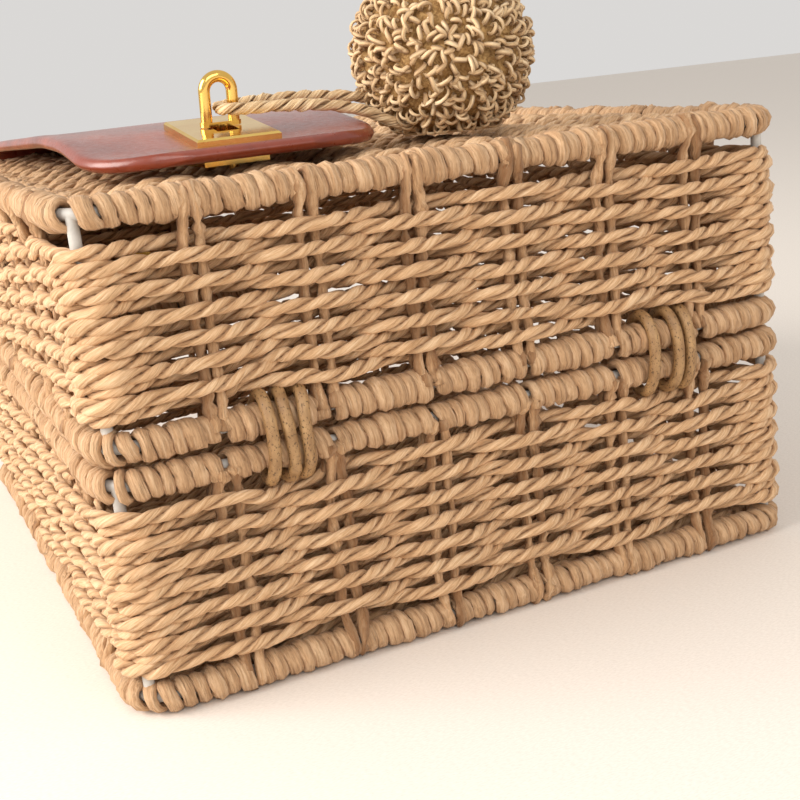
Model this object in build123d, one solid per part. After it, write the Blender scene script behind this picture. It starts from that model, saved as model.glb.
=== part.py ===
from build123d import *
import math
import os

# Basket box bag: a woven base and a woven lid, tied together by two cord lashings on the wall
# at -Y, with a leather strap, a turn lock and a raffia pompom on the lid.
# Millimetres. X is the length, Y the depth, Z up; the origin is the middle of the footprint.

# ---- overall size -------------------------------------------------------------------------
length = 190.0              # along X, over the rims
depth = 220.0               # along Y, over the rims
base_height = 59.0          # floor to the seam
lid_height = 59.0           # seam to the top of the lid's rim
seam_gap = 0.3              # running gap between the two seam rims

# ---- rims and wire ------------------------------------------------------------------------
rim_diameter = 8.3          # wire with its paper wrapping
wire_diameter = 2.7
rim_bend_radius = 7.0       # of the wire's line at the four corners
wrap_clearance = 0.05       # wrapping to wire, all round
foot_flat = 0.25            # how far the bottom rim is pressed flat where it stands

# ---- weave --------------------------------------------------------------------------------
weave_thickness = 8.3       # stake with a rope on each side
foot_rim_gap = 2.0          # gap between the bottom rim and the first row
seam_rim_gap = 1.6          # gap between a seam rim and the row beside it
top_rim_gap = 2.8           # gap between the top rim and the first row under it
panel_gap = 0.6             # gap between a rim and the flat panel inside it
strand_diameter = 2.3       # one paper strand of a stake
strand_spacing = 4.2        # between the two strands of a stake
strand_clearance = 0.05
side_stake_count = 6        # on the hinge wall and the wall facing it, and across both panels
end_stake_count = 7         # on each wall at the ends of X

# ---- hinge lashings -----------------------------------------------------------------------
lashing_cord = 3.0
lashing_clearance = 0.3     # loop to rim and loop to weave
left_lashing_x = (-54.8, -50.5, -46.4)   # the three loops of the left lashing
right_lashing_x = (48.4, 55.6, 59.6)     # the three loops of the right lashing

# ---- strap --------------------------------------------------------------------------------
strap_width = 73.0
strap_thickness = 3.0
strap_corner_radius = 22.0
strap_reach = 25.0          # from the lock's middle to the strap's front edge
strap_rise = 6.65           # from the lid's top to the strap's upper face, over the lock
strap_slope = 4.5 / 30.0    # rise of the strap per millimetre towards +Y, over the lock
strap_edge_strip = 10.0     # the strip along the front edge that turns up
strap_near_curl = 0.8       # how far the front edge turns up
strap_crest_reach = 45.0    # from the lock's middle to the strap's highest place
strap_crest_height = 8.3    # of the strap's middle line there, above the lid
strap_far_height = 3.8      # of the strap's middle line over the far rim, above the lid
strap_far_reach = 2.5       # how far the middle line stands out past the far rim
strap_foot_height = 68.0    # the strap's lower end, above the floor
strap_leave_height = 94.0   # where the strap leaves the wall, above the floor
strap_bend_radii = (8, 8, 40, 5, 12, 12)

# ---- strap rivets -------------------------------------------------------------------------
rivet_spacing = 28.0
rivet_height = 78.0         # of the rivets, above the floor
rivet_shank = 3.0
rivet_head = 8.0
rivet_head_height = 1.6
washer_thickness = 1.0
rivet_tail_height = 0.8
rivet_clearance = 0.1

# ---- lock ---------------------------------------------------------------------------------
lock_x = -44.5
lock_y = -70.0
plate_length = 20.5         # along X
plate_width = 28.0          # along Y
plate_thickness = 2.0
plate_bevel = 0.5
slot_width = 5.4
slot_length = 12.4
backing_thickness = 0.6
backing_margin = 1.5        # backing plate inside the outline of the front plate
tab_width = 4.0
tab_thickness = 0.8
tab_spacing = 15.0
lock_clearance = 0.25
staple_leg = 2.8
staple_spacing = 6.8        # between the legs' middle lines
staple_leg_height = 7.0
staple_foot_thickness = 1.1
staple_foot_width = 3.4
stem_diameter = 4.0
stem_running_gap = 0.05
stem_land = 1.2             # length of the bore that the stem turns in
stem_head_diameter = 6.0
stem_head_height = 0.7
foot_length = 16.0          # lock base, along X
foot_width = 20.0           # lock base, along Y
foot_gap = 0.35             # lock base to the backing plate over it
post_diameter = 2.4
post_spacing = 14.0
post_head_diameter = 4.4
post_head_height = 0.8
back_plate_thickness = 1.0

# ---- pompom and its cord ------------------------------------------------------------------
pompom_diameter = 48.0
pompom_sink = 3.8           # how far the ball is pressed flat where it rests
pompom_gap = 0.3
pompom_x = 16.5
cord_diameter = 3.6

# ---- worked out from the sizes above ------------------------------------------------------
rim_r = rim_diameter / 2
wire_r = wire_diameter / 2
strand_r = strand_diameter / 2
height = base_height + lid_height
ring_x = length / 2 - rim_r
ring_y = depth / 2 - rim_r
foot_rim_z = rim_r - foot_flat
base_seam_z = base_height - seam_gap / 2 - rim_r
lid_seam_z = base_height + seam_gap / 2 + rim_r
top_rim_z = height - rim_r
stake_pitch = 2 * ring_x / (side_stake_count + 1)
end_pitch = 2 * ring_y / (end_stake_count + 1)
stake_x = [(i - (side_stake_count - 1) / 2) * stake_pitch for i in range(side_stake_count)]
stake_y = [(i - (end_stake_count - 1) / 2) * end_pitch for i in range(end_stake_count)]
strand_offsets = (-strand_spacing / 2, strand_spacing / 2)
corner_inset = rim_bend_radius * (1 - math.cos(math.radians(45)))
post_x = ring_x - corner_inset
post_y = ring_y - corner_inset
loop_inner_r = rim_r + lashing_clearance
loop_r = loop_inner_r + lashing_cord / 2
loop_clear_r = loop_inner_r + lashing_cord + lashing_clearance
strap_top_z = height + strap_rise
strap_tilt = math.degrees(math.atan(strap_slope))
strap_drop = strap_thickness / math.cos(math.radians(strap_tilt))
far_wall_y = depth / 2


# ---- shared shapes ------------------------------------------------------------------------
def ring_path(z):
    """The rounded rectangle that the wire of one rim follows."""
    return Plane.XY.offset(z) * RectangleRounded(2 * ring_x, 2 * ring_y, rim_bend_radius)


def ring_tube(z, radius):
    """A solid ring of the given section radius round the rim line at height z."""
    wire = ring_path(z).wire()
    start = Plane(origin=wire @ 0, z_dir=wire % 0)
    return sweep(start * Circle(radius), path=wire)


def rod(start, end, radius):
    """A round rod from one point to another."""
    axis = Vector(*end) - Vector(*start)
    return extrude(Plane(origin=start, z_dir=axis) * Circle(radius), axis.length)


def corner_posts(z_low, z_high, radius):
    """Four upright rods at the corners of the rim line."""
    return [
        rod((sx * post_x, sy * post_y, z_low), (sx * post_x, sy * post_y, z_high), radius)
        for sx in (-1, 1)
        for sy in (-1, 1)
    ]


def side_strands(z_low, z_high, radius):
    """The upright paper strands round the four walls, two for each stake."""
    spots = []
    for side in (-1, 1):
        spots += [(x + d, side * ring_y) for x in stake_x for d in strand_offsets]
        spots += [(side * ring_x, y + d) for y in stake_y for d in strand_offsets]
    return [rod((x, y, z_low), (x, y, z_high), radius) for x, y in spots]


def panel_strands(z, reach, radius):
    """The strands that cross a flat panel from one long rim to the other."""
    return [
        rod((x + d, -reach, z), (x + d, reach, z), radius)
        for x in stake_x
        for d in strand_offsets
    ]


def wall_band(z_low, z_high):
    """The woven wall: a closed band, as thick as a stake with a rope on each side."""
    half = weave_thickness / 2
    outer = RectangleRounded(2 * (ring_x + half), 2 * (ring_y + half), rim_bend_radius + half)
    inner = RectangleRounded(2 * (ring_x - half), 2 * (ring_y - half), rim_bend_radius - half)
    return extrude(Plane.XY.offset(z_low) * (outer - inner), z_high - z_low)


def flat_panel(z):
    """The woven panel inside a rim, as thick as the walls."""
    inside = rim_r + panel_gap
    outline = RectangleRounded(2 * (ring_x - inside), 2 * (ring_y - inside), rim_bend_radius - inside / 2)
    return extrude(Plane.XY.offset(z - weave_thickness / 2) * outline, weave_thickness)


def lashing_notches(z_low, z_high):
    """Room in a long wall for the loops at every angle of the lid."""
    half = lashing_cord / 2 + lashing_clearance
    notches = []
    for loops in (left_lashing_x, right_lashing_x):
        width = max(loops) - min(loops) + 2 * half
        middle = (max(loops) + min(loops)) / 2
        box = Box(width, weave_thickness + 2, z_high - z_low)
        notches.append(Pos(middle, -ring_y, (z_low + z_high) / 2) * box)
    return notches


# ---- one half of the basket ---------------------------------------------------------------
def wire_frame(z_low, z_high):
    """Two wire rings joined by four welded corner posts."""
    frame = ring_tube(z_low, wire_r) + ring_tube(z_high, wire_r)
    for post in corner_posts(z_low, z_high, wire_r):
        frame += post
    return frame


def rim_wrap(z, other_z, with_panel):
    """The paper wrapping of one rim, with room for its wire, its posts and its strands."""
    wrap = ring_tube(z, rim_r) - ring_tube(z, wire_r + wrap_clearance)
    side_r = strand_r + strand_clearance
    wrap -= corner_posts(min(z, other_z), max(z, other_z), wire_r + wrap_clearance)
    wrap -= side_strands(min(z, other_z), max(z, other_z), side_r)
    if with_panel:
        wrap -= panel_strands(z, ring_y, side_r)
    return wrap


def side_weave(z_low, z_high):
    """The woven wall with its stake and post holes."""
    band = wall_band(z_low, z_high)
    band -= side_strands(z_low - 1, z_high + 1, strand_r + strand_clearance)
    band -= corner_posts(z_low - 1, z_high + 1, wire_r + wrap_clearance)
    return band


def side_stakes(z_low, z_high):
    """Strands that end on the wires of the two rims."""
    end_gap = wire_r + 2 * wrap_clearance
    return Compound(side_strands(z_low + end_gap, z_high - end_gap, strand_r))


def panel_stakes(z):
    """Strands across a flat panel that end on the wires of the long rims."""
    return Compound(panel_strands(z, ring_y - wire_r - 2 * wrap_clearance, strand_r))


def panel_weave(z):
    """The flat woven panel with its stake holes."""
    return flat_panel(z) - panel_strands(z, ring_y, strand_r + strand_clearance)


# ---- hinge lashings -----------------------------------------------------------------------
def lashing_loop(x):
    """One cord loop round both seam rims: two half turns joined by straight runs."""
    low = (x, -ring_y, base_seam_z)
    run = lid_seam_z - base_seam_z
    outline = Plane(origin=low, x_dir=(0, 0, 1), z_dir=(1, 0, 0)) * Pos(run / 2, 0) * SlotOverall(
        run + 2 * loop_r, 2 * loop_r
    )
    path = outline.wire()
    start = Plane(origin=path @ 0, z_dir=path % 0)
    return sweep(start * Circle(lashing_cord / 2), path=path)


# ---- strap --------------------------------------------------------------------------------
lock_plane = Plane(
    origin=(lock_x, lock_y, strap_top_z),
    x_dir=(1, 0, 0),
    z_dir=(0, -math.sin(math.radians(strap_tilt)), math.cos(math.radians(strap_tilt))),
)


def strap_line():
    """The strap's middle line in Y and Z, from its front edge to its lower end."""
    level_y = strap_reach - strap_edge_strip
    lock_z = strap_top_z - strap_drop / 2
    low_z = lock_z - level_y * strap_slope
    out_y = far_wall_y + strap_far_reach
    return FilletPolyline(
        (lock_y - strap_reach, low_z + strap_near_curl),
        (lock_y - level_y, low_z),
        (lock_y + level_y, lock_z + level_y * strap_slope),
        (lock_y + strap_crest_reach, height + strap_crest_height),
        (out_y, height + strap_far_height),
        (out_y, strap_leave_height + 10),
        (far_wall_y + strap_thickness / 2, strap_leave_height),
        (far_wall_y + strap_thickness / 2, strap_foot_height),
        radius=strap_bend_radii,
    )


def strap():
    """The strap: up the lid's far wall, over its rim, and along the lid to round corners."""
    section = Plane.YZ.offset(lock_x) * trace(strap_line(), line_width=strap_thickness)
    body = extrude(section.face(), amount=strap_width / 2, both=True)
    front_y = lock_y - strap_reach
    outline_depth = 2 * depth
    outline = Pos(lock_x, front_y + outline_depth / 2) * RectangleRounded(
        strap_width, outline_depth, strap_corner_radius
    )
    body &= extrude(Plane.XY.offset(strap_foot_height - 5) * outline, 2 * height)
    slot = lock_plane * Pos(0, 0, -strap_thickness) * Box(
        slot_width + 2, slot_length + 2, 3 * strap_thickness
    )
    body -= slot
    body -= plate_tabs(lock_clearance / 2)
    body -= rivet_holes()
    return body


def rivet_spots():
    """Where the rivets stand on the lid's far wall."""
    return [(lock_x + side * rivet_spacing / 2, rivet_height) for side in (-1, 1)]


def rivet_holes():
    """Round holes through the strap and the woven wall behind it."""
    inner_y = far_wall_y - weave_thickness - 5
    outer_y = far_wall_y + strap_thickness + 5
    return [
        rod((x, inner_y, z), (x, outer_y, z), rivet_shank / 2 + rivet_clearance)
        for x, z in rivet_spots()
    ]


def rivets():
    """Domed rivets whose tails are spread over washers inside the lid."""
    made = []
    head_y = far_wall_y + strap_thickness
    tail_y = far_wall_y - weave_thickness - washer_thickness
    for x, z in rivet_spots():
        shank = rod((x, head_y, z), (x, tail_y, z), rivet_shank / 2)
        head = extrude(
            Plane(origin=(x, head_y, z), z_dir=(0, 1, 0)) * Circle(rivet_head / 2),
            rivet_head_height,
            taper=35,
        )
        tail = rod((x, tail_y, z), (x, tail_y - rivet_tail_height, z), rivet_shank * 0.8)
        made.append(shank + head + tail)
    return Compound(made)


def rivet_washers():
    """Flat washers between the rivet tails and the weave."""
    inner_y = far_wall_y - weave_thickness
    made = []
    for x, z in rivet_spots():
        disc = rod((x, inner_y, z), (x, inner_y - washer_thickness, z), rivet_head / 2)
        hole = rod((x, inner_y + 1, z), (x, inner_y - 2, z), rivet_shank / 2 + rivet_clearance)
        made.append(disc - hole)
    return Compound(made)


# ---- lock ---------------------------------------------------------------------------------
def plate_tabs(clearance):
    """Two tabs that go down from the front plate through the strap and its backing."""
    deep = strap_thickness + backing_thickness + 2 * clearance
    tab = Box(tab_thickness + 2 * clearance, tab_width + 2 * clearance, deep)
    places = Pos(-tab_spacing / 2, 0, -deep / 2), Pos(tab_spacing / 2, 0, -deep / 2)
    return [lock_plane * place * tab for place in places]


def lock_plate():
    """The gold plate on the strap, with a bevelled edge and a slot for the staple."""
    plate = Pos(0, 0, plate_thickness / 2) * Box(plate_length, plate_width, plate_thickness)
    top_edges = plate.edges().group_by(Axis.Z)[-1]
    plate = chamfer(top_edges, plate_bevel)
    plate -= Pos(0, 0, plate_thickness / 2) * Box(slot_width, slot_length, plate_thickness + 2)
    placed = lock_plane * plate
    for tab in plate_tabs(0):
        placed += tab
    return placed


def lock_backing():
    """The thin plate under the strap that the tabs are bent over."""
    middle_z = -strap_thickness - backing_thickness / 2
    sheet = Pos(0, 0, middle_z) * Box(
        plate_length - 2 * backing_margin, plate_width - 2 * backing_margin, backing_thickness
    )
    sheet -= Pos(0, 0, middle_z) * Box(slot_width, slot_length, backing_thickness + 2)
    return lock_plane * sheet - plate_tabs(lock_clearance / 2)


foot_top = -strap_thickness - backing_thickness - foot_gap
stem_head_low = foot_top - stem_land - lock_clearance - stem_head_height


def post_spots():
    """The lock base's two posts, in front of and behind the stem."""
    return [(lock_x, lock_y + side * post_spacing / 2) for side in (-1, 1)]


def lock_base():
    """A cast foot on the lid: level below, square to the strap above, with two peened posts."""
    upper = lock_plane * Pos(0, 0, foot_top - 10) * Box(2 * foot_length, 2 * foot_width, 20)
    block = Pos(lock_x, lock_y, height + 10) * Box(foot_length, foot_width, 20)
    foot = block & upper
    inner_z = height - weave_thickness - back_plate_thickness
    for x, y in post_spots():
        foot += rod((x, y, height + 0.5), (x, y, inner_z), post_diameter / 2)
        foot += rod((x, y, inner_z), (x, y, inner_z - post_head_height), post_head_diameter / 2)
    bore_r = stem_diameter / 2 + stem_running_gap
    recess_r = stem_head_diameter / 2 + lock_clearance
    foot -= lock_plane * Pos(0, 0, foot_top) * Cylinder(bore_r, 20)
    recess_top = foot_top - stem_land
    foot -= lock_plane * Pos(0, 0, recess_top - 5) * Cylinder(recess_r, 10)
    return foot


def lock_staple():
    """The turning arch, with its foot bar and the stem that is peened under the lock base."""
    foot_z = plate_thickness + lock_clearance
    leg_base = foot_z + staple_foot_thickness
    bar = Pos(0, 0, foot_z + staple_foot_thickness / 2) * extrude(
        SlotOverall(staple_spacing + staple_foot_width, staple_foot_width),
        staple_foot_thickness / 2,
        both=True,
    )
    half = staple_spacing / 2
    leg_top = leg_base + staple_leg_height
    arch_line = Polyline((-half, foot_z + 0.5), (-half, leg_top)) + ThreePointArc(
        (-half, leg_top), (0, leg_top + half), (half, leg_top)
    )
    arch_line += Polyline((half, leg_top), (half, foot_z + 0.5))
    line = Plane.XZ * Wire(arch_line.edges())
    start = Plane(origin=line @ 0, z_dir=line % 0)
    arch = sweep(start * Circle(staple_leg / 2), path=line)
    stem_top = foot_z + staple_foot_thickness / 2
    stem = Pos(0, 0, (stem_top + stem_head_low) / 2) * Cylinder(
        stem_diameter / 2, stem_top - stem_head_low
    )
    head = Pos(0, 0, stem_head_low + stem_head_height / 2) * Cylinder(
        stem_head_diameter / 2, stem_head_height
    )
    return lock_plane * (bar + arch + stem + head)


def lock_back_plate():
    """The plate inside the lid that the posts are peened over."""
    plate_z = height - weave_thickness - back_plate_thickness / 2
    plate = Pos(lock_x, lock_y, plate_z) * Box(foot_length - 2, foot_width, back_plate_thickness)
    hole_r = post_diameter / 2 + wrap_clearance
    for x, y in post_spots():
        plate -= rod((x, y, plate_z - 3), (x, y, plate_z + 3), hole_r)
    return plate


def lock_room():
    """Holes in the lid's panel for the posts and for the peened head of the stem."""
    low = height - weave_thickness - 1
    cuts = [rod((x, y, low), (x, y, height + 1), post_diameter / 2 + 0.1) for x, y in post_spots()]
    pocket_depth = 5.0
    pocket = lock_plane * Pos(0, 0, stem_head_low - lock_clearance + pocket_depth / 2) * Cylinder(
        stem_head_diameter / 2 + lock_clearance, pocket_depth
    )
    return cuts + [pocket]


# ---- pompom -------------------------------------------------------------------------------
pompom_r = pompom_diameter / 2
pompom_z = height + pompom_gap + pompom_r - pompom_sink

# The cord leaves the ball, goes round the staple's right leg and comes back to the ball.
cord_points = [
    (-2.0, -65.0, 129.3),
    (-13.0, -64.0, 130.9),
    (-25.0, -65.1, 131.6),
    (-35.0, -66.6, 131.6),
    (-44.5, -67.5, 131.2),
    (-44.5, -74.3, 130.4),
    (-35.5, -75.0, 130.2),
    (-25.0, -76.4, 129.8),
    (-15.0, -76.0, 128.3),
    (-7.0, -75.2, 126.0),
    (-0.5, -74.2, 122.5),
    (6.0, -73.6, 121.0),
]


def cord_radii():
    """As large an arc at each point as its two runs leave room for, and the leg's own at the turn."""
    points = [Vector(*p) for p in cord_points]
    radii = []
    for before, here, after in zip(points, points[1:], points[2:]):
        run_in = here - before
        run_out = after - here
        half_turn = math.radians(run_in.get_angle(run_out)) / 2
        largest = 0.45 * min(run_in.length, run_out.length) / math.tan(half_turn)
        radii.append(largest)
    return radii


def pompom_cord():
    """The free cord, as one plain tube."""
    radii = cord_radii()
    print("cord radii", [round(r, 1) for r in radii])
    path = FilletPolyline(*cord_points, radius=radii)
    print("cord length", round(path.length, 1))
    start = Plane(origin=path @ 0, z_dir=path % 0)
    tube = sweep(start * Circle(cord_diameter / 2), path=path)
    print("cord volume ratio", tube.volume / (path.length * math.pi * cord_diameter**2 / 4))
    return tube


def pompom():
    """The raffia ball, pressed flat where it rests on the lid."""
    ball = Pos(pompom_x, lock_y, pompom_z) * Sphere(pompom_r)
    floor = Pos(pompom_x, lock_y, height + pompom_gap - pompom_r) * Box(
        2 * pompom_diameter, 2 * pompom_diameter, 2 * pompom_r
    )
    return ball - floor


# ---- all nodes ----------------------------------------------------------------------------
def build():
    """Every node by name."""
    base_low = foot_rim_z + rim_r + foot_rim_gap
    base_high = base_seam_z - rim_r - seam_rim_gap
    lid_low = lid_seam_z + rim_r + seam_rim_gap
    lid_high = top_rim_z - rim_r - top_rim_gap
    base_room = lashing_notches(base_seam_z - loop_clear_r, base_high + 1)
    lid_room = lashing_notches(lid_low - 1, lid_seam_z + loop_clear_r)
    ground = Pos(0, 0, -rim_r) * Box(2 * length, 2 * depth, 2 * rim_r)
    return {
        "base_wire_frame": wire_frame(foot_rim_z, base_seam_z),
        "base_bottom_rim": rim_wrap(foot_rim_z, base_seam_z, True) - ground,
        "base_seam_rim": rim_wrap(base_seam_z, foot_rim_z, False),
        "base_side_stakes": side_stakes(foot_rim_z, base_seam_z),
        "base_side_weave": side_weave(base_low, base_high) - base_room,
        "base_bottom_stakes": panel_stakes(foot_rim_z),
        "base_bottom_weave": panel_weave(foot_rim_z) - ground,
        "lid_wire_frame": wire_frame(lid_seam_z, top_rim_z),
        "lid_seam_rim": rim_wrap(lid_seam_z, top_rim_z, False),
        "lid_top_rim": rim_wrap(top_rim_z, lid_seam_z, True),
        "lid_side_stakes": side_stakes(lid_seam_z, top_rim_z),
        "lid_side_weave": side_weave(lid_low, lid_high) - lid_room - rivet_holes(),
        "lid_top_stakes": panel_stakes(top_rim_z),
        "lid_top_weave": panel_weave(top_rim_z) - lock_room(),
        "hinge_cord_left": Compound([lashing_loop(x) for x in left_lashing_x]),
        "hinge_cord_right": Compound([lashing_loop(x) for x in right_lashing_x]),
        "strap": strap(),
        "strap_rivets": rivets(),
        "strap_washers": rivet_washers(),
        "lock_plate": lock_plate(),
        "lock_plate_backing": lock_backing(),
        "lock_base": lock_base(),
        "lock_back_plate": lock_back_plate(),
        "lock_staple": lock_staple(),
        "pompom": pompom(),
        "pompom_cord": pompom_cord(),
    }


os.makedirs("parts", exist_ok=True)
for name, shape in build().items():
    export_step(shape, f"parts/{name}.step")
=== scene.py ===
import math

import bpy
import numpy as np
from mathutils import Matrix, Vector


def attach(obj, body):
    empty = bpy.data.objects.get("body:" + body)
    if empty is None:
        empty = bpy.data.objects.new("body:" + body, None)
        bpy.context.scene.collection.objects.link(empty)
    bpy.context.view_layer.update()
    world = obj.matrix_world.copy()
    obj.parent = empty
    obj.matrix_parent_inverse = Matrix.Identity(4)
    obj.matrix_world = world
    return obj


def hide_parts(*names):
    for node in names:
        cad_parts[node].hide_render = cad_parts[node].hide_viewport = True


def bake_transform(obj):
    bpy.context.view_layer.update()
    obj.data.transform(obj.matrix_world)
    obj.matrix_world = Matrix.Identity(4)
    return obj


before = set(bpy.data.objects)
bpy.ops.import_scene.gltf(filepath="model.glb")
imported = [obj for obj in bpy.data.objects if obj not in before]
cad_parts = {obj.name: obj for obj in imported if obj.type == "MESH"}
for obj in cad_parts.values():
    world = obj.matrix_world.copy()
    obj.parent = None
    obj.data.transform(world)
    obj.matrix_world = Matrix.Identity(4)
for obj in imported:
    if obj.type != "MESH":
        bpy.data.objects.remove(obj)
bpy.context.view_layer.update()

# Lengths below are in millimetres, as in the CAD model, until a mesh or a point is handed to
# Blender, which works in metres.
MM = 0.001
RING_X = 90.85              # half the rim line, along X
RING_Y = 105.85             # half the rim line, along Y
BEND = 7.0                  # corner radius of the rim line
BASE_FOOT_Z = 3.9           # heights of the four rims' middle lines
BASE_SEAM_Z = 54.7
LID_SEAM_Z = 63.3
LID_TOP_Z = 113.85
SIDE_STAKES = [-64.9, -38.94, -12.98, 12.98, 38.94, 64.9]
END_STAKES = [-79.39, -52.92, -26.46, 0.0, 26.46, 52.92, 79.39]
LEFT_LASHING = (-54.8, -50.5, -46.4)
RIGHT_LASHING = (48.4, 55.6, 59.6)
LOCK_X = -44.5
LOCK_Y = -70.0
LOWEST_Z = 0.05             # no strand goes below this
FRAME_PX = 800


# ---- camera ---------------------------------------------------------------------------------
def make_camera():
    """The camera, from where it stands and the way it looks."""
    turn, tip, roll = math.radians(23.70), math.radians(15.30), math.radians(-5.77)
    ahead = Vector((math.sin(turn) * math.cos(tip), math.cos(turn) * math.cos(tip), -math.sin(tip)))
    flat_right = ahead.cross(Vector((0, 0, 1))).normalized()
    flat_up = flat_right.cross(ahead)
    right = math.cos(roll) * flat_right + math.sin(roll) * flat_up
    up = -math.sin(roll) * flat_right + math.cos(roll) * flat_up
    data = bpy.data.cameras.new("camera")
    data.sensor_width = 36.0
    data.lens = 1233.8 * data.sensor_width / FRAME_PX
    data.clip_start = 0.01
    camera = bpy.data.objects.new("camera", data)
    bpy.context.scene.collection.objects.link(camera)
    pose = Matrix((right, up, -ahead)).transposed().to_4x4()
    pose.translation = Vector((-133.5, -362.9, 137.5)) * MM
    camera.matrix_world = pose
    bpy.context.scene.camera = camera


make_camera()


# ---- shaping tools --------------------------------------------------------------------------
def unit(vectors):
    """The same directions at length one."""
    return vectors / np.maximum(np.linalg.norm(vectors, axis=-1, keepdims=True), 1e-12)


def ripple(u, low, high, size, rng):
    """A smooth random wave of low to high cycles as u goes from 0 to 1, about size high."""
    total = np.zeros_like(u)
    for cycles in range(low, high):
        total += rng.normal() * np.sin(2 * np.pi * (cycles * u + rng.random()))
    return total * size / math.sqrt(max(high - low, 1) / 2)


def bump(x, low, high, fade):
    """One between low and high, falling smoothly to nothing over fade on each side."""
    outside = np.maximum(np.maximum(low - x, x - high), 0) / fade
    return np.where(outside < 1, 0.5 + 0.5 * np.cos(np.pi * np.minimum(outside, 1)), 0)


def frames(points, across, closed):
    """Tangents along a line, and the given directions made square to them."""
    if closed:
        tangent = unit(np.roll(points, -1, axis=0) - np.roll(points, 1, axis=0))
    else:
        tangent = unit(np.gradient(points, axis=0))
    normal = unit(across - np.sum(across * tangent, axis=1, keepdims=True) * tangent)
    return tangent, normal, np.cross(tangent, normal)


def carried(points):
    """Directions across a line that turn with it and don't twist."""
    tangent = unit(np.gradient(points, axis=0))
    first = np.cross(tangent[0], (0.0, 0.0, 1.0))
    if np.linalg.norm(first) < 0.1:
        first = np.cross(tangent[0], (0.0, 1.0, 0.0))
    normals = [first / np.linalg.norm(first)]
    for step in tangent[1:]:
        side = normals[-1] - np.dot(normals[-1], step) * step
        normals.append(side / np.linalg.norm(side))
    return np.array(normals)


def lengths(points):
    """The distance along a line at each of its points."""
    steps = np.linalg.norm(np.diff(points, axis=0), axis=1)
    return np.concatenate(([0.0], np.cumsum(steps)))


def spaced(points, step):
    """The same open line with points about step apart."""
    along = lengths(points)
    count = max(int(round(along[-1] / step)), 2) + 1
    places = np.linspace(0, along[-1], count)
    return np.stack([np.interp(places, along, points[:, i]) for i in range(3)], axis=1)


def rounded(corners, passes):
    """A line through the same ends whose corners are cut away a few times over."""
    line = np.array(corners, dtype=float)
    for _ in range(passes):
        near = 0.75 * line[:-1] + 0.25 * line[1:]
        far = 0.25 * line[:-1] + 0.75 * line[1:]
        inner = np.stack([near, far], axis=1).reshape(-1, 3)
        line = np.concatenate([line[:1], inner[1:-1], line[-1:]])
    return line


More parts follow.
